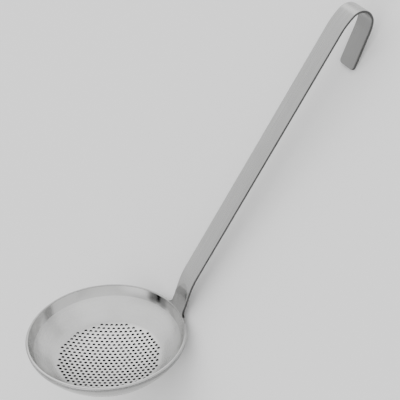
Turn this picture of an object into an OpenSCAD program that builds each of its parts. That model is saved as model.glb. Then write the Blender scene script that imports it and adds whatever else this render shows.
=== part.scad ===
// Pierced serving spoon, pressed and bent from one piece of stainless sheet.
// A round dished bowl with a field of small holes and a narrow turned-up rim carries a flat strap
// that rises from the rim, bends at the neck and turns over into a hook at the top.
//
// The spoon can't stand on its bowl, so it is drawn as it lies on a table: the bowl leans on its
// wall and the end of the hook touches the table. Everything is first drawn in the bowl's own
// frame, with the rim plane at z = 0, the bowl's axis on Z and the strap towards +X.

/* [Sheet] */
// Thickness of the sheet
sheet = 2; // [1.5:0.1:2.4]

/* [Bowl] */
// Diameter over the rim
rim_d = 120; // [112:1:130]
// Depth inside, from the rim plane to the middle of the bottom
bowl_depth = 26.6; // [24:0.2:29]
// Radius of the shallow dish of the bottom, inside
dish_r = 185; // [160:5:240]
// Diameter of the dished bottom, inside
dish_d = 79.2; // [78:0.2:82]
// Radius of the tight curve round the bottom, inside
knuckle_r = 4; // [2:0.5:8]
// Slope at which the tight curve passes into the wall
knuckle_slope = 35.6; // [30:0.4:42]
// Radius of the wall's easy curve, inside
wall_r = 60; // [54:1:66]
// Depth below the rim plane at which the wall turns up into the rim
lip_drop = 4; // [3:0.1:6]

/* [Holes] */
// Diameter of one hole
hole_d = 2.1; // [1.4:0.1:2.6]
// Distance between the centres of neighbouring holes
hole_pitch = 3.87; // [3.4:0.01:4.6]
// Width across the flats of the twelve-sided field of holes
field_w = 75; // [40:1:78]

/* [Strap] */
// Width of the strap
strap_w = 18; // [12:0.5:24]
// Step from the middle of the rim's edge out to the middle of the strap
neck_step = 0.5; // [0:0.1:1]
// Radius of the fillets where the strap leaves the rim
root_fillet = 3; // [1:0.5:6]
// Angle of the neck above the rim plane
neck_angle = 69.5; // [60:0.5:76]
// Length of the straight neck
neck_l = 16.5; // [8:0.5:40]
// Radius of the bend between the neck and the handle
bend_r = 68; // [30:1:120]
// Angle of the handle above the rim plane
handle_angle = 54.5; // [48:0.5:58]
// Length of the straight handle
handle_l = 206.5; // [150:0.5:260]

/* [Hook] */
// Radius of the tight bend at the top, on the middle of the sheet
hook_r = 10; // [7:0.5:16]
// Angle through which the tight bend turns
hook_turn = 139; // [120:1:145]
// Radius of the easy bend that leads into the tight one
ease_in_r = 52; // [20:1:80]
// Angle through which the strap eases into the hook
ease_in = 17; // [10:1:30]
// Radius of the easy bend that leads out of the tight one
ease_out_r = 30; // [15:1:60]
// Angle through which the hook eases out
ease_out = 14; // [5:1:20]
// Length of the straight end of the hook
hook_end = 29; // [20:0.5:50]
// Radius of the corners at the end of the hook
tip_corner = 3; // [1:0.5:6]

/* [Hidden] */

half = sheet / 2;
rim_r = rim_d / 2;
steel = [0.72, 0.72, 0.70];
shell_fn = 180;
dish_fn = 360;
hole_fn = 24;
reach = 400;
link_r = 0.9 * half;
hole_margin = 0.15;
corner_cross = 0.05;

// Centres of the three curves of the bowl, each running smoothly into the next
dish_slope = asin(dish_d / 2 / dish_r);
dish_centre = [0, dish_r - bowl_depth];
knuckle_centre = dish_centre + (dish_r - knuckle_r) * [sin(dish_slope), -cos(dish_slope)];
wall_centre = knuckle_centre + (wall_r - knuckle_r) * [-sin(knuckle_slope), cos(knuckle_slope)];

// Slope of the wall where it turns up into the rim, and the middle of the rounded edge
lip_slope = acos((wall_centre[1] + lip_drop) / (wall_r + half));
lip_root = on_curve(wall_centre, wall_r, lip_slope);
edge = [rim_r - half, -half];

// Point on the middle of the sheet where a curve of the bowl has the given slope
function on_curve(c, r, slope) = c + (r + half) * [sin(slope), -cos(slope)];

// The middle line of the strap, one point at each change from straight to bent
function ahead(p, a, l) = p + l * [cos(a), sin(a)];
function centre(p, a, r) = p + r * [sin(a), -cos(a)];
function turned(p, a, r, turn) = centre(p, a, r) + r * [-sin(a - turn), cos(a - turn)];

neck_start = edge + [neck_step, 0];
neck_end = ahead(neck_start, neck_angle, neck_l);
handle_start = turned(neck_end, neck_angle, bend_r, neck_angle - handle_angle);
handle_end = ahead(handle_start, handle_angle, handle_l);
hook_in_angle = handle_angle - ease_in;
hook_in = turned(handle_end, handle_angle, ease_in_r, ease_in);
hook_out_angle = hook_in_angle - hook_turn;
hook_out = turned(hook_in, hook_in_angle, hook_r, hook_turn);
end_angle = hook_out_angle - ease_out;
end_start = turned(hook_out, hook_out_angle, ease_out_r, ease_out);
tip = ahead(end_start, end_angle, hook_end);

// The spoon rests on the wall's outer curve and on the lower edge of the hook's end
tip_edge = tip + half * [-sin(end_angle), cos(end_angle)];
wall_out = wall_r + sheet;
to_tip = tip_edge - wall_centre;
rest_angle = atan2(to_tip[1], to_tip[0]) + asin(wall_out / norm(to_tip));
function rest_x(p) = p[0] * cos(rest_angle) + p[1] * sin(rest_angle);
function rest_z(p) = -p[0] * sin(rest_angle) + p[1] * cos(rest_angle);
rest_lift = wall_out - rest_z(wall_centre);
rest_min_x = rest_x([-wall_centre[0], wall_centre[1]]) - wall_out;
rest_max_x = rest_x(centre(hook_in, hook_in_angle, hook_r)) + hook_r + half;

// The holes stand on a triangular grid, with a row across the strap's direction, and fill a
// twelve-sided field; each lies whole on the dish, clear of its edge
hole_reach = dish_d / 2 - hole_d / 2 - hole_margin;
rows = ceil(field_w / hole_pitch);
function grid(i, j) = hole_pitch * [j * sqrt(3) / 2, i + j / 2];
function in_field(p) = max([for (k = [0:5]) abs(p * [cos(30 * k), sin(30 * k)])]) <= field_w / 2;
hole_places = [
    for (j = [-rows:rows], i = [-2 * rows:2 * rows])
        let (p = grid(i, j))
            if (in_field(p) && norm(p) <= hole_reach) p
];

// Part of a ring of sheet, from one direction clockwise through the given turn
module arc_strip(r, from, turn) {
    intersection() {
        difference() {
            circle(r = r + half, $fn = shell_fn);
            circle(r = r - half, $fn = shell_fn);
        }
        polygon([
            [0, 0],
            for (k = [0:3]) 2 * r * [cos(from - turn * k / 3), sin(from - turn * k / 3)]
        ]);
    }
}

module straight_strip(p, a, l) {
    translate(p)
        rotate(a)
            translate([0, -half])
                square([l, sheet]);
}

module bent_strip(p, a, r, turn) {
    translate(centre(p, a, r))
        arc_strip(r, a + 90, turn);
}

// Small discs inside the sheet that tie one stretch of a profile to the next
module links(points) {
    for (p = points)
        translate(p)
            circle(r = link_r, $fn = hole_fn);
}

// Cut through the wall, from the edge of the dished bottom up to the rounded edge of the rim
module wall_profile() {
    translate(knuckle_centre)
        arc_strip(knuckle_r + half, knuckle_slope - 90, knuckle_slope - dish_slope);
    translate(wall_centre)
        arc_strip(wall_r + half, lip_slope - 90, lip_slope - knuckle_slope);
    lip = edge - lip_root;
    straight_strip(lip_root, atan2(lip[1], lip[0]), norm(lip));
    for (p = [lip_root, edge])
        translate(p)
            circle(r = half, $fn = shell_fn);
    links([
        on_curve(knuckle_centre, knuckle_r, dish_slope),
        on_curve(knuckle_centre, knuckle_r, knuckle_slope)
    ]);
}

// The dished bottom is a piece of a round shell, cut off square to the sheet
module dished_bottom() {
    translate([0, 0, dish_centre[1]])
        intersection() {
            difference() {
                sphere(r = dish_r + sheet, $fn = dish_fn);
                sphere(r = dish_r, $fn = dish_fn);
            }
            translate([0, 0, -dish_r - 2 * sheet])
                cylinder(
                    r1 = (dish_r + 2 * sheet) * tan(dish_slope),
                    r2 = 0,
                    h = dish_r + 2 * sheet,
                    $fn = shell_fn
                );
        }
}

// Each hole is punched square to the sheet, so its axis passes through the dish's centre
module holes() {
    translate([0, 0, dish_centre[1]])
        for (p = hole_places)
            rotate([0, -asin(norm(p) / dish_r), atan2(p[1], p[0])])
                translate([0, 0, -dish_r - 2 * sheet])
                    cylinder(d = hole_d, h = 3 * sheet, $fn = hole_fn);
}

module bowl() {
    color(steel)
        difference() {
            union() {
                dished_bottom();
                rotate_extrude($fn = shell_fn)
                    wall_profile();
            }
            holes();
        }
}

module strap_profile() {
    translate(neck_start)
        circle(r = half, $fn = shell_fn);
    straight_strip(neck_start, neck_angle, neck_l);
    bent_strip(neck_end, neck_angle, bend_r, neck_angle - handle_angle);
    straight_strip(handle_start, handle_angle, handle_l);
    bent_strip(handle_end, handle_angle, ease_in_r, ease_in);
    bent_strip(hook_in, hook_in_angle, hook_r, hook_turn);
    bent_strip(hook_out, hook_out_angle, ease_out_r, ease_out);
    straight_strip(end_start, end_angle, hook_end);
    links([neck_end, handle_start, handle_end, hook_in, hook_out, end_start]);
}

// Outline of the strap seen along X, with the fillets that widen it down to the rim
module strap_outline() {
    translate([-strap_w / 2, -sheet])
        square([strap_w, reach]);
    difference() {
        translate([-strap_w / 2 - root_fillet, -sheet])
            square([strap_w + 2 * root_fillet, sheet + root_fillet]);
        for (side = [-1, 1])
            translate([side * (strap_w / 2 + root_fillet), root_fillet])
                circle(r = root_fillet, $fn = shell_fn);
    }
}

// The round of a corner crosses the end and the side at a slight angle, so no sliver is left
module tip_corner_cut() {
    inset = tip_corner - corner_cross;
    translate([tip[0], 0, tip[1]])
        rotate([0, -end_angle, 0])
            linear_extrude(height = 2 * sheet, center = true)
                translate([-inset, strap_w / 2 - inset])
                    difference() {
                        square(2 * tip_corner);
                        circle(r = tip_corner, $fn = shell_fn);
                    }
}

// The strap follows the rim's curve at its root and is almost flat from the neck on
module strap() {
    spread = asin((strap_w / 2 + root_fillet + 1) / (rim_r - sheet));
    color(steel)
        difference() {
            intersection() {
                rotate([0, 0, -spread])
                    rotate_extrude(angle = 2 * spread, $fn = shell_fn)
                        strap_profile();
                rotate([90, 0, 90])
                    linear_extrude(height = reach)
                        strap_outline();
            }
            tip_corner_cut();
            mirror([0, 1, 0])
                tip_corner_cut();
        }
}

module pierced_spoon() {
    translate([-(rest_min_x + rest_max_x) / 2, 0, rest_lift])
        rotate([0, rest_angle, 0]) {
            bowl();
            strap();
        }
}

pierced_spoon();
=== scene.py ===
from math import acos, asin, atan2, cos, hypot, pi, radians, sin, sqrt

import bpy
from mathutils import Matrix, Vector
from mathutils.geometry import delaunay_2d_cdt


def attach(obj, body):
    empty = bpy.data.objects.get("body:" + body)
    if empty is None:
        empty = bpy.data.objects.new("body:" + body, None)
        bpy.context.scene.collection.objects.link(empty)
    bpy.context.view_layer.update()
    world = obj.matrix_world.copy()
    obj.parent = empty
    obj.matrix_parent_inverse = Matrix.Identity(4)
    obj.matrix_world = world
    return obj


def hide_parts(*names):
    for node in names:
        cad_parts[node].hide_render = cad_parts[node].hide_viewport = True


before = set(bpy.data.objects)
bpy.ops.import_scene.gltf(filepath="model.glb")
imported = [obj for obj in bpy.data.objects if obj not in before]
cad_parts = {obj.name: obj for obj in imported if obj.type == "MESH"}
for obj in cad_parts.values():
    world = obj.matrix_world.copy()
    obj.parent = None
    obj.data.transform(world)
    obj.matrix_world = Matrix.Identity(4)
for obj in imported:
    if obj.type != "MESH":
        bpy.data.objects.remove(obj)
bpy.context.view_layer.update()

MM = 0.001

# Sizes in millimetres, the same as in the part's source
SHEET = 2.0
HALF = SHEET / 2
RIM_R = 60.0
BOWL_DEPTH = 26.6
DISH_R = 185.0
DISH_EDGE = 39.6
KNUCKLE_R = 4.0
KNUCKLE_SLOPE = radians(35.6)
WALL_R = 60.0
LIP_DROP = 4.0
HOLE_R = 1.05
HOLE_PITCH = 3.87
FIELD_W = 75.0
HOLE_MARGIN = 0.15
STRAP_W = 18.0
NECK_STEP = 0.5
ROOT_FILLET = 3.0
NECK_ANGLE = radians(69.5)
NECK_L = 16.5
BEND_R = 68.0
HANDLE_ANGLE = radians(54.5)
HANDLE_L = 206.5
HOOK_R = 10.0
HOOK_TURN = radians(139)
EASE_IN_R = 52.0
EASE_IN = radians(17)
EASE_OUT_R = 30.0
EASE_OUT = radians(14)
HOOK_END = 29.0
TIP_CORNER = 3.0

# The scene's own finer sizes: the eased edge of the holes, the rounding of the strap's edges across
# the strap and through the sheet, and the length over which the wall bends up into the rim
HOLE_EDGE = 0.17
EDGE_ACROSS = 0.9
EDGE_DEEP = 0.45
LIP_BEND = 1.3

# The cut edge of the rim is flat: its height above the middle of the edge, and its two corners
RIM_TOP = 0.85
RIM_INNER = 0.3
RIM_OUTER = 1.1

# The root of the strap starts this far below the middle of the rim's edge, with its face a little
# proud of the wall, its back sunk in the wall and its edges sharp. It has flowed into the straight
# neck at this length.
ROOT_BELOW = 1.2
ROOT_PROUD = 0.03
ROOT_SUNK = 3 * ROOT_PROUD
ROOT_SHARP = 0.06
ROOT_BLEND = 9.0

# Slope in degrees that the bowl's shading follows at some distances from its axis. It is softer
# than the solid round the holes and at the rim.
SOFT_SLOPES = (
    (0, 0), (20, 4.5), (30, 10.5), (36, 16.5), (39.5, 22), (42, 31), (44.5, 37),
    (50, 40), (52.5, 46), (55, 55), (57.5, 61), (59, 63),
)

# Distance from the bowl's axis at which the satin inside gives way to the polished band, whose darker
# colour is painted shade
SATIN_TO = 55.0

# The polished root of the strap ends in a rounded border: its top, in metres from the rim, how far
# its sides fall below that, and half its width. The root has its own roughness, and a darker tone
# that is a painted reflection.
NECK_BORDER = 0.0225
NECK_ARCH = 0.011
NECK_EDGE = 0.0006
NECK_PAINTED_REFLECTION = 0.79
NECK_ROUGH = 0.1

# Steps across the strap's face, round each of its rounded edges, and how many of the last ones
# belong to the cut edge
SECTION_ACROSS = 14
SECTION_TURN = 6
CUT_STEPS = 3

# Steps of the curves in the bowl's cut from the dish up to the rim's edge, and of the strap's root
KNUCKLE_STEPS = 8
WALL_STEPS = 24
LIP_STEPS = 10
CORNER_STEPS = 6
ROOT_STEPS = 24

# Material slots of the bowl and of the strap
SATIN, POLISHED, OUTSIDE, HOLE_PAINTED_SHADE, RIM_EDGE = range(5)
FACE, CUT_PAINTED_SHADE, BACK = range(3)

# Directions round the bowl, and round each hole
AROUND = 240
HOLE_AROUND = 20

# Flat layout of the dish: least distance of its own points from the edge of the dish, and the
# distance under which two points count as one
LAYOUT_MARGIN = 1.2
SAME_POINT = 1e-5


def point_on(centre, r, slope):
    return (centre[0] + r * sin(slope), centre[1] - r * cos(slope))


def soft_slope(r):
    for (r0, s0), (r1, s1) in zip(SOFT_SLOPES, SOFT_SLOPES[1:]):
        if r <= r1:
            return radians(s0 + (s1 - s0) * (r - r0) / (r1 - r0))
    return radians(SOFT_SLOPES[-1][1])


# Centres of the bowl's curves, in the plane of its cut, with the rim plane at height 0
dish_slope = asin(DISH_EDGE / DISH_R)
dish_centre = (0.0, DISH_R - BOWL_DEPTH)
dish_middle = Vector((0, 0, dish_centre[1]))
knuckle_centre = point_on(dish_centre, DISH_R - KNUCKLE_R, dish_slope)
wall_centre = point_on(knuckle_centre, KNUCKLE_R - WALL_R, KNUCKLE_SLOPE)
lip_slope = acos((wall_centre[1] + LIP_DROP) / (WALL_R + HALF))
lip_root = point_on(wall_centre, WALL_R + HALF, lip_slope)
edge = (RIM_R - HALF, -HALF)
lip_angle = atan2(edge[1] - lip_root[1], edge[0] - lip_root[0])


class Path:
    """A middle line of sheet in the plane of its cut: points, directions and lengths so far."""

    def __init__(self, x, z, angle):
        self.x, self.z, self.angle = x, z, angle
        self.length = 0.0
        self.samples = [(x, z, angle, 0.0)]

    def straight(self, length, steps):
        a = self.angle
        for i in range(1, steps + 1):
            t = length * i / steps
            self.samples.append((self.x + t * cos(a), self.z + t * sin(a), a, self.length + t))
        self.x, self.z = self.samples[-1][:2]
        self.length += length

    def bend(self, r, turn, steps):
        """Turns clockwise for a positive turn."""
        side = 1 if turn > 0 else -1
        cx = self.x + side * r * sin(self.angle)
        cz = self.z - side * r * cos(self.angle)
        first = self.angle
        for i in range(1, steps + 1):
            a = first - turn * i / steps
            length = self.length + r * abs(turn) * i / steps
            self.samples.append((cx - side * r * sin(a), cz + side * r * cos(a), a, length))
        self.x, self.z, self.angle = self.samples[-1][:3]
        self.length += r * abs(turn)


def skin(name, verts, faces, normals, uvs=None):
    """A mesh object from points in millimetres in the bowl's own frame, with a normal for each."""
    mesh = bpy.data.meshes.new(name)
    mesh.from_pydata([(v[0] * MM, v[1] * MM, v[2] * MM) for v in verts], [], faces)
    if uvs:
        layer = mesh.uv_layers.new(name="length_and_width")
        for loop in mesh.loops:
            layer.data[loop.index].uv = uvs[loop.vertex_index]
    mesh.transform(TO_REST)
    turn = TO_REST.to_3x3()
    mesh.shade_smooth()
    mesh.normals_split_custom_set_from_vertices([turn @ Vector(n).normalized() for n in normals])
    mesh.validate()
    obj = bpy.data.objects.new(name, mesh)
    bpy.context.scene.collection.objects.link(obj)
    return obj


# The strap's middle line, from the rim to the end of the hook
strap_path = Path(edge[0] + NECK_STEP, edge[1], NECK_ANGLE)
strap_path.straight(NECK_L, steps=24)
strap_path.bend(BEND_R, NECK_ANGLE - HANDLE_ANGLE, steps=14)
strap_path.straight(HANDLE_L, steps=60)
strap_path.bend(EASE_IN_R, EASE_IN, steps=14)
strap_path.bend(HOOK_R, HOOK_TURN, steps=48)
strap_path.bend(EASE_OUT_R, EASE_OUT, steps=10)
strap_path.straight(HOOK_END - TIP_CORNER, steps=12)
strap_path.straight(TIP_CORNER, steps=12)

# The spoon lies on the wall's outer curve and on the lower edge of the hook's end
tip_x, tip_z, tip_angle = strap_path.samples[-1][:3]
to_tip = (
    tip_x - HALF * sin(tip_angle) - wall_centre[0],
    tip_z + HALF * cos(tip_angle) - wall_centre[1],
)
wall_out = WALL_R + SHEET
rest_angle = atan2(to_tip[1], to_tip[0]) + asin(wall_out / hypot(*to_tip))


def rest_x(x, z):
    return x * cos(rest_angle) + z * sin(rest_angle)


def rest_z(x, z):
    return -x * sin(rest_angle) + z * cos(rest_angle)


rest_lift = wall_out - rest_z(*wall_centre)
rest_min_x = rest_x(-wall_centre[0], wall_centre[1]) - wall_out
rest_max_x = max(
    rest_x(x - HALF * sin(a), z + HALF * cos(a)) for x, z, a, s in strap_path.samples
)
rest_shift = Vector((-(rest_min_x + rest_max_x) / 2, 0, rest_lift)) * MM
TO_REST = Matrix.Translation(rest_shift) @ Matrix.Rotation(rest_angle, 4, "Y")


# The bowl: a dished bottom with its holes, and the wall and rim turned round the bowl's axis
def hole_places():
    rows = int(FIELD_W / HOLE_PITCH) + 1
    reach = DISH_EDGE - HOLE_R - HOLE_MARGIN
    places = []
    for j in range(-rows, rows + 1):
        for i in range(-2 * rows, 2 * rows + 1):
            x = HOLE_PITCH * j * sqrt(3) / 2
            y = HOLE_PITCH * (i + j / 2)
            across = max(abs(x * cos(k * pi / 6) + y * sin(k * pi / 6)) for k in range(6))
            if across <= FIELD_W / 2 and hypot(x, y) <= reach:
                places.append((x, y))
    return places


def wall_samples():
    """Middle line of the wall from the dish's edge to the rim: (x, z, direction) at each point."""
    samples = []
    for i in range(KNUCKLE_STEPS + 1):
        a = dish_slope + (KNUCKLE_SLOPE - dish_slope) * i / KNUCKLE_STEPS
        samples.append((*point_on(knuckle_centre, KNUCKLE_R + HALF, a), a))
    before = lip_slope - LIP_BEND / (WALL_R + HALF)
    for i in range(1, WALL_STEPS + 1):
        a = KNUCKLE_SLOPE + (before - KNUCKLE_SLOPE) * i / WALL_STEPS
        samples.append((*point_on(wall_centre, WALL_R + HALF, a), a))
    start = samples[-1]
    end = (lip_root[0] + LIP_BEND * cos(lip_angle), lip_root[1] + LIP_BEND * sin(lip_angle))
    for i in range(1, LIP_STEPS + 1):
        t = i / LIP_STEPS
        x = (1 - t) ** 2 * start[0] + 2 * t * (1 - t) * lip_root[0] + t * t * end[0]
        z = (1 - t) ** 2 * start[1] + 2 * t * (1 - t) * lip_root[1] + t * t * end[1]
        dx = (1 - t) * (lip_root[0] - start[0]) + t * (end[0] - lip_root[0])
        dz = (1 - t) * (lip_root[1] - start[1]) + t * (end[1] - lip_root[1])
        samples.append((x, z, atan2(dz, dx)))
    samples.append((*edge, lip_angle))
    return samples


def soft_down(x, y):
    """Direction out of the underside of the dish at a point of its plan, with the softened slope."""
    slope = soft_slope(hypot(x, y))
    t = atan2(y, x)
    return Vector((sin(slope) * cos(t), sin(slope) * sin(t), -cos(slope)))


def wall_outline():
    """Outline of the wall's cut: (out, up, the normal's two parts) at each point.

    It runs up the inside, round the edge of the rim and down the outside.
    """
    wall = wall_samples()
    outline = []
    for x, z, a in wall:
        soft = soft_slope(x)
        outline.append((x - HALF * sin(a), z + HALF * cos(a), -sin(soft), cos(soft)))
    for side, corner in ((1, RIM_INNER), (-1, RIM_OUTER)):
        along = RIM_TOP - corner
        out = side * (HALF - corner)
        corner_x = edge[0] + along * cos(lip_angle) - out * sin(lip_angle)
        corner_z = edge[1] + along * sin(lip_angle) + out * cos(lip_angle)
        for i in range(CORNER_STEPS + 1):
            t = i / CORNER_STEPS
            a = lip_angle + (pi / 2 * (1 - t) if side == 1 else -pi / 2 * t)
            outline.append((corner_x + corner * cos(a), corner_z + corner * sin(a), cos(a), sin(a)))
    for x, z, a in reversed(wall):
        soft = soft_slope(x)
        outline.append((x + HALF * sin(a), z - HALF * cos(a), sin(soft), -cos(soft)))
    return outline


def mid_points():
    """Points of the flat layout in the middle between three neighbouring holes."""
    points = []
    for x, y in hole_places():
        for k in range(2):
            a = k * pi / 3
            px = x + HOLE_PITCH / sqrt(3) * cos(a)
            py = y + HOLE_PITCH / sqrt(3) * sin(a)
            if hypot(px, py) < DISH_EDGE - LAYOUT_MARGIN:
                points.append((px, py))
    return points


class BowlMesh:
    """The bowl as it grows: its points with their normals, its faces, and the dish laid out flat.

    Each point of the flat layout stands for one point of the inside and one of the outside.
    """

    def __init__(self):
        self.verts, self.normals, self.faces = [], [], []
        # The layout's points, the pair that each stands for, the lines to keep, and the holes' points
        self.flat, self.pairs, self.borders = [], [], []
        self.hole_of = {}

    def add(self, place, normal):
        self.verts.append(place)
        self.normals.append(normal)
        return len(self.verts) - 1

    def turn_wall(self):
        """Turns the wall round the bowl's axis, and starts the flat layout at the dish's edge."""
        directions = [2 * pi * k / AROUND for k in range(AROUND)]
        rows = []
        for r, z, nr, nz in wall_outline():
            row = []
            for t in directions:
                row.append(self.add((r * cos(t), r * sin(t), z), (nr * cos(t), nr * sin(t), nz)))
            rows.append(row)
        for lower, upper in zip(rows, rows[1:]):
            for k in range(AROUND):
                m = (k + 1) % AROUND
                self.faces.append((lower[m], lower[k], upper[k], upper[m]))
        for k, t in enumerate(directions):
            self.flat.append(Vector((DISH_EDGE * cos(t), DISH_EDGE * sin(t))))
            self.pairs.append((rows[0][k], rows[-1][k]))
            self.borders.append((k, (k + 1) % AROUND))

    def punch(self, number, x, y):
        """Adds the wall of one hole, square to the sheet and with both its edges eased."""
        axis = Vector((x, y, -sqrt(DISH_R ** 2 - x * x - y * y))).normalized()
        across = Vector((0, 1, 0)).cross(axis).normalized()
        along = axis.cross(across)
        wide = HOLE_R + HOLE_EDGE
        first = len(self.flat)
        loops = []
        for k in range(HOLE_AROUND):
            t = 2 * pi * k / HOLE_AROUND
            out = across * cos(t) + along * sin(t)
            inner_top = dish_middle + axis * sqrt(DISH_R ** 2 - wide ** 2) + out * wide
            inner_low = dish_middle + axis * (DISH_R + HOLE_EDGE) + out * HOLE_R
            outer_low = dish_middle + axis * (DISH_R + SHEET - HOLE_EDGE) + out * HOLE_R
            outer_top = dish_middle + axis * sqrt((DISH_R + SHEET) ** 2 - wide ** 2) + out * wide
            down = soft_down(inner_top.x, inner_top.y)
            a = self.add(inner_top, -down)
            b = self.add(inner_low, -out)
            c = self.add(outer_low, -out)
            d = self.add(outer_top, down)
            loops.append((a, b, c, d))
            self.hole_of[len(self.flat)] = number
            self.flat.append(Vector((inner_top.x, inner_top.y)))
            self.pairs.append((a, d))
        for k in range(HOLE_AROUND):
            m = (k + 1) % HOLE_AROUND
            self.borders.append((first + k, first + m))
            for j in range(3):
                self.faces.append((loops[k][j], loops[m][j], loops[m][j + 1], loops[k][j + 1]))

    def fill_dish(self):
        """Meshes the flat layout once for both faces of the sheet, and leaves the holes open."""
        for x, y in mid_points():
            down = sqrt(DISH_R ** 2 - x * x - y * y)
            axis = Vector((x, y, -down)).normalized()
            soft = soft_down(x, y)
            inner = self.add(dish_middle + axis * DISH_R, -soft)
            outer = self.add(dish_middle + axis * (DISH_R + SHEET), soft)
            self.pairs.append((inner, outer))
            self.flat.append(Vector((x, y)))
        layout = delaunay_2d_cdt(self.flat, self.borders, [], 0, SAME_POINT)
        _, _, triangles, origins, _, _ = layout
        for triangle in triangles:
            corners = [origins[i][0] for i in triangle]
            holes = {self.hole_of.get(i, -1 - i) for i in corners}
            if len(holes) > 1:
                self.faces.append([self.pairs[i][0] for i in corners])
                self.faces.append([self.pairs[i][1] for i in reversed(corners)])


def build_bowl():
    mesh = BowlMesh()
    mesh.turn_wall()
    hole_first = len(mesh.faces)
    for number, (x, y) in enumerate(hole_places()):
        mesh.punch(number, x, y)
    hole_last = len(mesh.faces)
    mesh.fill_dish()
    uvs = [(atan2(v[1], v[0]) * RIM_R * MM, hypot(v[0], v[1]) * MM) for v in mesh.verts]
    bowl = skin("bowl", mesh.verts, mesh.faces, mesh.normals, uvs)
    polygons = bowl.data.polygons
    to_bowl = TO_REST.inverted().to_3x3()
    for polygon in polygons:
        radius = sum(uvs[i][1] for i in polygon.vertices) / len(polygon.vertices)
        if (to_bowl @ polygon.normal).z < 0:
            polygon.material_index = OUTSIDE
        elif radius > SATIN_TO * MM:
            polygon.material_index = POLISHED
        else:
            polygon.material_index = SATIN
    # The holes' walls and eased edges take a near-black colour: painted shade in the holes, on a dull
    # sheared wall.
    for polygon in polygons[hole_first:hole_last]:
        polygon.material_index = HOLE_PAINTED_SHADE
    rim_first = len(wall_samples()) * AROUND
    rim_last = rim_first + (2 * CORNER_STEPS + 1) * AROUND
    for polygon in polygons[rim_first:rim_last]:
        polygon.material_index = RIM_EDGE
    return bowl


# The strap: its root out of the wall, and the rest along its middle line
def root_rows():
    """Cuts of the strap's root from the wall up to the neck, each with a direction for its shading.

    Their middle line is a cubic curve that leaves along the lip and arrives along the neck.
    """
    x0 = edge[0] - ROOT_BELOW * cos(lip_angle)
    z0 = edge[1] - ROOT_BELOW * sin(lip_angle)
    x1 = edge[0] + NECK_STEP + ROOT_BLEND * cos(NECK_ANGLE)
    z1 = edge[1] + ROOT_BLEND * sin(NECK_ANGLE)
    pull = ROOT_BLEND + ROOT_BELOW
    rows = []
    for i in range(ROOT_STEPS):
        t = i / ROOT_STEPS
        lip_place, neck_place = 2 * t ** 3 - 3 * t ** 2 + 1, -2 * t ** 3 + 3 * t ** 2
        lip_pull, neck_pull = pull * (t ** 3 - 2 * t ** 2 + t), pull * (t ** 3 - t ** 2)
        x = lip_place * x0 + neck_place * x1 + lip_pull * cos(lip_angle) + neck_pull * cos(NECK_ANGLE)
        z = lip_place * z0 + neck_place * z1 + lip_pull * sin(lip_angle) + neck_pull * sin(NECK_ANGLE)
        place_rate = 6 * t ** 2 - 6 * t
        lip_rate, neck_rate = pull * (3 * t ** 2 - 4 * t + 1), pull * (3 * t ** 2 - 2 * t)
        dx = place_rate * (x0 - x1) + lip_rate * cos(lip_angle) + neck_rate * cos(NECK_ANGLE)
        dz = place_rate * (z0 - z1) + lip_rate * sin(lip_angle) + neck_rate * sin(NECK_ANGLE)
        soft = soft_slope(edge[0]) * (1 - t) + NECK_ANGLE * t
        rows.append((x, z, atan2(dz, dx), pull * t - ROOT_BELOW, soft))
    return rows


def half_width(height, from_end):
    """Half the strap's width, with its fillets at the rim and its rounded corners at the end."""
    w = STRAP_W / 2
    if height < ROOT_FILLET:
        t = min(ROOT_FILLET - height, ROOT_FILLET)
        w += ROOT_FILLET - sqrt(ROOT_FILLET ** 2 - t * t)
    if from_end < TIP_CORNER:
        t = TIP_CORNER - from_end
        w -= TIP_CORNER - sqrt(TIP_CORNER ** 2 - t * t)
    return w


def section(w, face, back, edge_deep):
    """Outline of the strap's cut: (across, out of the face, the normal's two parts) at each point."""
    points = []
    for side, thick, other in ((1, face, back), (-1, back, face)):
        for i in range(SECTION_ACROSS + 1):
            y = side * (-1 + 2 * i / SECTION_ACROSS) * (w - EDGE_ACROSS)
            points.append((y, side * thick, 0.0, side * 1.0))
        for i in range(1, SECTION_TURN + 1):
            a = pi / 2 * i / SECTION_TURN
            points.append((
                side * (w - EDGE_ACROSS * (1 - sin(a))),
                side * (thick - edge_deep * (1 - cos(a))),
                side * sin(a) / EDGE_ACROSS,
                side * cos(a) / edge_deep,
            ))
        for i in range(SECTION_TURN, 0, -1):
            a = pi / 2 * i / SECTION_TURN
            points.append((
                side * (w - EDGE_ACROSS * (1 - sin(a))),
                -side * (other - edge_deep * (1 - cos(a))),
                side * sin(a) / EDGE_ACROSS,
                -side * cos(a) / edge_deep,
            ))
    return points


def strap_slot(k, n):
    """Material slot between one of the n points of the strap's outline and the next."""
    side, place = divmod(k, n // 2)
    if place < SECTION_ACROSS + SECTION_TURN - CUT_STEPS:
        return (FACE, BACK)[side]
    if place < n // 2 - SECTION_TURN + CUT_STEPS:
        return CUT_PAINTED_SHADE
    return (BACK, FACE)[side]


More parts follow.
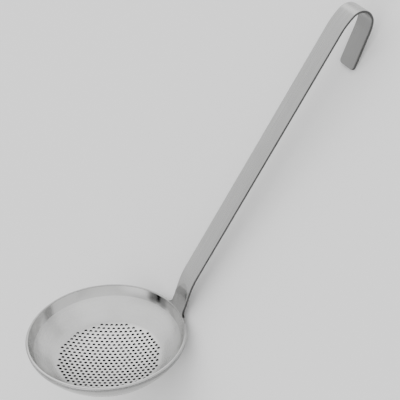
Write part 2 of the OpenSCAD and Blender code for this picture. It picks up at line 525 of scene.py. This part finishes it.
def build_strap():
    verts, normals, faces, uvs, rows = [], [], [], [], []
    total = strap_path.length
    cuts = root_rows() + [(x, z, a, s, a) for x, z, a, s in strap_path.samples if s >= ROOT_BLEND]
    for x, z, a, s, lean in cuts:
        w = half_width(z, total - s)
        free = min(max(s / ROOT_FILLET, 0.0), 1.0)
        face = HALF + ROOT_PROUD * (1 - free)
        back = HALF - ROOT_SUNK * (1 - free)
        edge_deep = EDGE_DEEP * (ROOT_SHARP + (1 - ROOT_SHARP) * free)
        row = []
        for y, h, ny, nh in section(w, face, back, edge_deep):
            px = x - h * sin(a)
            pz = z + h * cos(a)
            turn = asin(y / px)
            size = hypot(ny, nh)
            row.append(len(verts))
            verts.append((px * cos(turn), y, pz))
            out = -sin(lean) * nh / size
            normals.append((out * cos(turn), ny / size + out * sin(turn), cos(lean) * nh / size))
            uvs.append((y * MM, s * MM))
        rows.append(row)
    n = len(rows[0])
    slots = []
    for lower, upper in zip(rows, rows[1:]):
        for k in range(n):
            m = (k + 1) % n
            faces.append((lower[m], lower[k], upper[k], upper[m]))
            slots.append(strap_slot(k, n))
    faces.append(rows[0])
    faces.append(list(reversed(rows[-1])))
    slots += [CUT_PAINTED_SHADE, CUT_PAINTED_SHADE]
    strap = skin("strap", verts, faces, normals, uvs)
    for polygon, slot in zip(strap.data.polygons, slots):
        polygon.material_index = slot
    return strap


# Materials, each with its noise stretched along the piece, or even in all directions
EVEN = (1, 1, 1)


class Steel:
    """A steel material whose colour, roughness and bump vary with noise laid out on the piece."""

    def __init__(self, name, colour):
        self.material = bpy.data.materials.new(name)
        self.material.use_nodes = True
        self.tree = self.material.node_tree
        self.shader = self.tree.nodes["Principled BSDF"]
        self.shader.inputs["Metallic"].default_value = 1.0
        self.colour = colour
        self.object_place = self.node("ShaderNodeTexCoord").outputs["Object"]
        self.flat_place = self.node("ShaderNodeUVMap").outputs["UV"]

    def node(self, kind, **settings):
        node = self.tree.nodes.new(kind)
        for key, value in settings.items():
            setattr(node, key, value)
        return node

    def link(self, source, target):
        self.tree.links.new(source, target)

    def noise(self, place, stretch, scale, detail, rough):
        """Noise from 0 to 1 over a place that is stretched along its axes."""
        mapping = self.node("ShaderNodeMapping")
        mapping.inputs["Scale"].default_value = stretch
        self.link(place, mapping.inputs["Vector"])
        noise = self.node("ShaderNodeTexNoise")
        noise.inputs["Scale"].default_value = scale
        noise.inputs["Detail"].default_value = detail
        noise.inputs["Roughness"].default_value = rough
        self.link(mapping.outputs["Vector"], noise.inputs["Vector"])
        return noise.outputs["Fac"]

    def spread(self, value, low, high, source_low=0.3, source_high=0.7):
        """A value spread from the range of the source, by default that of noise, to low and high."""
        node = self.node("ShaderNodeMapRange")
        node.inputs["From Min"].default_value = source_low
        node.inputs["From Max"].default_value = source_high
        node.inputs["To Min"].default_value = low
        node.inputs["To Max"].default_value = high
        self.link(value, node.inputs["Value"])
        return node.outputs["Result"]

    def math(self, operation, a, b):
        node = self.node("ShaderNodeMath", operation=operation)
        for socket, value in zip(node.inputs, (a, b)):
            if isinstance(value, (int, float)):
                socket.default_value = value
            else:
                self.link(value, socket)
        return node.outputs["Value"]

    def tint(self, value):
        """Base colour: the steel's own colour times a value round one."""
        node = self.node("ShaderNodeVectorMath", operation="SCALE")
        node.inputs[0].default_value = self.colour
        self.link(value, node.inputs["Scale"])
        self.link(node.outputs["Vector"], self.shader.inputs["Base Color"])

    def bump(self, height, distance, strength, under=None):
        node = self.node("ShaderNodeBump")
        node.inputs["Distance"].default_value = distance
        node.inputs["Strength"].default_value = strength
        self.link(height, node.inputs["Height"])
        if under is not None:
            self.link(under, node.inputs["Normal"])
        self.link(node.outputs["Normal"], self.shader.inputs["Normal"])
        return node.outputs["Normal"]


def bowl_steel(name, colour, roughness, rough_spread, marks):
    """Pressed sheet: soft clouds, faint turned lines round the bowl and fine scratches."""
    steel = Steel(name, colour)
    clouds = steel.noise(steel.object_place, EVEN, scale=45.0, detail=3.0, rough=0.55)
    turned = steel.noise(steel.flat_place, (14, 900, 1), scale=1.0, detail=4.0, rough=0.6)
    scratches = steel.noise(steel.flat_place, (60, 5200, 1), scale=1.0, detail=2.0, rough=0.5)
    steel.tint(steel.math(
        "ADD", steel.spread(clouds, 0.955, 1.03), steel.spread(turned, -0.02, 0.02)
    ))
    rough = steel.math(
        "ADD", steel.spread(clouds, -rough_spread, rough_spread), steel.spread(scratches, -0.03, 0.03)
    )
    steel.link(steel.math("ADD", rough, roughness), steel.shader.inputs["Roughness"])
    wavy = steel.bump(clouds, distance=0.00012 * marks, strength=0.5)
    steel.bump(turned, distance=0.000012 * marks, strength=0.5, under=wavy)
    return steel.material


def strap_steel(name, colour, roughness):
    """Sheet brushed along the strap, with its polished root below a rounded border, darkened there as a
    painted reflection.
    """
    steel = Steel(name, colour)
    lines = steel.noise(steel.flat_place, (3600, 26, 1), scale=1.0, detail=5.0, rough=0.65)
    streaks = steel.noise(steel.flat_place, (420, 9, 1), scale=1.0, detail=3.0, rough=0.5)
    clouds = steel.noise(steel.object_place, EVEN, scale=60.0, detail=2.0, rough=0.5)
    split = steel.node("ShaderNodeSeparateXYZ")
    steel.link(steel.flat_place, split.inputs["Vector"])
    across = steel.math("MULTIPLY", split.outputs["X"], 1 / (STRAP_W / 2 * MM))
    arch = steel.math("MULTIPLY", steel.math("MULTIPLY", across, across), -NECK_ARCH)
    border = steel.math("SUBTRACT", split.outputs["Y"], arch)
    brushed = steel.spread(border, 0.0, 1.0, NECK_BORDER - NECK_EDGE, NECK_BORDER + NECK_EDGE)
    tone = steel.math("ADD", steel.spread(lines, -0.1, 0.1), steel.spread(streaks, -0.035, 0.035))
    tone = steel.math("MULTIPLY", tone, brushed)
    # The root's darker tone is a painted reflection; only its lower roughness is its own polish.
    root_painted_reflection = steel.spread(brushed, NECK_PAINTED_REFLECTION, 1.0, 0.0, 1.0)
    base = steel.math("ADD", root_painted_reflection, steel.spread(clouds, -0.02, 0.02))
    steel.tint(steel.math("ADD", base, tone))
    zone_rough = steel.spread(brushed, NECK_ROUGH, roughness, 0.0, 1.0)
    rough = steel.math("ADD", steel.spread(streaks, -0.05, 0.05), zone_rough)
    steel.link(rough, steel.shader.inputs["Roughness"])
    wavy = steel.bump(clouds, distance=0.00006, strength=0.5)
    brushing = steel.math("MULTIPLY", lines, brushed)
    steel.bump(brushing, distance=0.000008, strength=0.6, under=wavy)
    return steel.material


def cut_steel(name, colour, roughness):
    """A cut edge of the sheet or the wall of a hole: duller, with fine marks, and a dark colour that is
    painted shade.
    """
    steel = Steel(name, colour)
    marks = steel.noise(steel.object_place, EVEN, scale=2600.0, detail=3.0, rough=0.6)
    clouds = steel.noise(steel.object_place, EVEN, scale=120.0, detail=2.0, rough=0.5)
    steel.tint(steel.math("ADD", steel.spread(marks, 0.92, 1.06), steel.spread(clouds, -0.04, 0.04)))
    steel.link(steel.spread(clouds, roughness - 0.05, roughness + 0.05), steel.shader.inputs["Roughness"])
    steel.bump(marks, distance=0.00001, strength=0.6)
    return steel.material


# The two pieces, with their materials in the order of their material slots
bowl = build_bowl()
strap = build_strap()
# The bowl is one steel: the polished band, the outside and the rim's edge have their own roughness, and
# colours darker than the satin inside that are painted shade.
bowl_steels = (
    bowl_steel("satin_bowl", (0.64, 0.64, 0.635), 0.28, rough_spread=0.03, marks=1.0),
    bowl_steel("polished_rim_painted_shade", (0.5, 0.5, 0.495), 0.12, rough_spread=0.02, marks=0.6),
    bowl_steel("polished_outside_painted_shade", (0.4, 0.4, 0.396), 0.14, rough_spread=0.02, marks=0.8),
    # Near-black walls of the holes: painted shade.
    cut_steel("punched_hole_painted_shade", (0.025, 0.025, 0.025), 0.55),
    bowl_steel("rim_edge_painted_shade", (0.46, 0.46, 0.456), 0.22, rough_spread=0.02, marks=0.6),
)
strap_steels = (
    strap_steel("brushed_strap", (0.46, 0.46, 0.456), 0.27),
    # Dark cut edges of the strap: painted shade on a duller cut.
    cut_steel("cut_edge_painted_shade", (0.09, 0.09, 0.089), 0.4),
    # The back of the strap is the same steel given a darker colour: painted shade.
    strap_steel("brushed_back_painted_shade", (0.275, 0.275, 0.272), 0.3),
)
for piece, steels in ((bowl, bowl_steels), (strap, strap_steels)):
    for steel in steels:
        piece.data.materials.append(steel)
    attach(piece, "root")
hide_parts("pierced_spoon")

# A pale floor, and how far it reaches from its middle in metres
REACH = 4
FLOOR_COLOUR = (0.9, 0.9, 0.9, 1)
FLOOR_ROUGH = 0.9


def build_floor():
    corners = [(-REACH, -REACH, 0), (REACH, -REACH, 0), (REACH, REACH, 0), (-REACH, REACH, 0)]
    mesh = bpy.data.meshes.new("floor")
    mesh.from_pydata(corners, [], [(0, 1, 2, 3)])
    paint = bpy.data.materials.new("floor_paint")
    paint.use_nodes = True
    shader = paint.node_tree.nodes["Principled BSDF"]
    shader.inputs["Base Color"].default_value = FLOOR_COLOUR
    shader.inputs["Roughness"].default_value = FLOOR_ROUGH
    mesh.materials.append(paint)
    floor = bpy.data.objects.new("floor", mesh)
    bpy.context.scene.collection.objects.link(floor)
    return floor


floor = build_floor()

# Light: a plain pale sky with a few soft changes, each given by its azimuth and elevation, the
# angles from its middle at which it starts and ends to fade, and its strength. The two dark ones
# make the dark streak by the strap's root. BRIGHTNESS scales the whole sky.
BRIGHTNESS = 1.55
SKY = 0.72
SKY_PATCHES = (
    (38, 30, 10, 27, 0.7),
    (50, 10, 15, 40, 0.2),
    (-60, 44, 20, 50, 0.25),
    (-30, 2, 20, 45, 0.12),
    (80, 66, 12, 44, 0.22),
    (173, 57, 2, 13, -0.6),
    (150, 49, 2, 13, -0.55),
    (-150, 28, 16, 40, 0.8),
)


def build_sky():
    world = bpy.data.worlds.new("studio")
    bpy.context.scene.world = world
    world.use_nodes = True
    tree = world.node_tree
    direction = tree.nodes.new("ShaderNodeTexCoord").outputs["Generated"]
    total = None
    for azimuth, elevation, full, faded, strength in SKY_PATCHES:
        a, e = radians(azimuth), radians(elevation)
        dot = tree.nodes.new("ShaderNodeVectorMath")
        dot.operation = "DOT_PRODUCT"
        dot.inputs[1].default_value = (cos(a) * cos(e), sin(a) * cos(e), sin(e))
        tree.links.new(direction, dot.inputs[0])
        fade = tree.nodes.new("ShaderNodeMapRange")
        fade.interpolation_type = "SMOOTHSTEP"
        fade.inputs["From Min"].default_value = cos(radians(faded))
        fade.inputs["From Max"].default_value = cos(radians(full))
        fade.inputs["To Max"].default_value = strength
        tree.links.new(dot.outputs["Value"], fade.inputs["Value"])
        add = tree.nodes.new("ShaderNodeMath")
        if total is None:
            add.inputs[0].default_value = SKY
        else:
            tree.links.new(total, add.inputs[0])
        tree.links.new(fade.outputs["Result"], add.inputs[1])
        total = add.outputs["Value"]
    background = tree.nodes["Background"]
    background.inputs["Color"].default_value = (1, 1, 1, 1)
    level = tree.nodes.new("ShaderNodeMath")
    level.operation = "MULTIPLY"
    level.inputs[1].default_value = BRIGHTNESS
    tree.links.new(total, level.inputs[0])
    tree.links.new(level.outputs["Value"], background.inputs["Strength"])


build_sky()

# Camera at the photograph's angle, in the bowl's own frame. Its distance, its shifts and its lens
# are in millimetres.
VIEW_AZIMUTH = radians(-115.766)
VIEW_ELEVATION = radians(33.851)
VIEW_ROLL = radians(-2.631)
VIEW_DISTANCE = 878.1
VIEW_RIGHT = 69.46
VIEW_UP = 98.98
VIEW_LENS = 106.54
SENSOR_WIDTH = 36


def add_camera():
    back = Vector((
        cos(VIEW_AZIMUTH) * cos(VIEW_ELEVATION),
        sin(VIEW_AZIMUTH) * cos(VIEW_ELEVATION),
        sin(VIEW_ELEVATION),
    ))
    level_right = Vector((-sin(VIEW_AZIMUTH), cos(VIEW_AZIMUTH), 0))
    level_up = back.cross(level_right)
    right = cos(VIEW_ROLL) * level_right + sin(VIEW_ROLL) * level_up
    up = cos(VIEW_ROLL) * level_up - sin(VIEW_ROLL) * level_right
    place = (VIEW_RIGHT * right + VIEW_UP * up + VIEW_DISTANCE * back) * MM
    aim = Matrix((right, up, back)).transposed().to_4x4()
    data = bpy.data.cameras.new("camera")
    data.lens = VIEW_LENS
    data.sensor_width = SENSOR_WIDTH
    camera = bpy.data.objects.new("camera", data)
    camera.matrix_world = TO_REST @ Matrix.Translation(place) @ aim
    bpy.context.scene.collection.objects.link(camera)
    bpy.context.scene.camera = camera


add_camera()
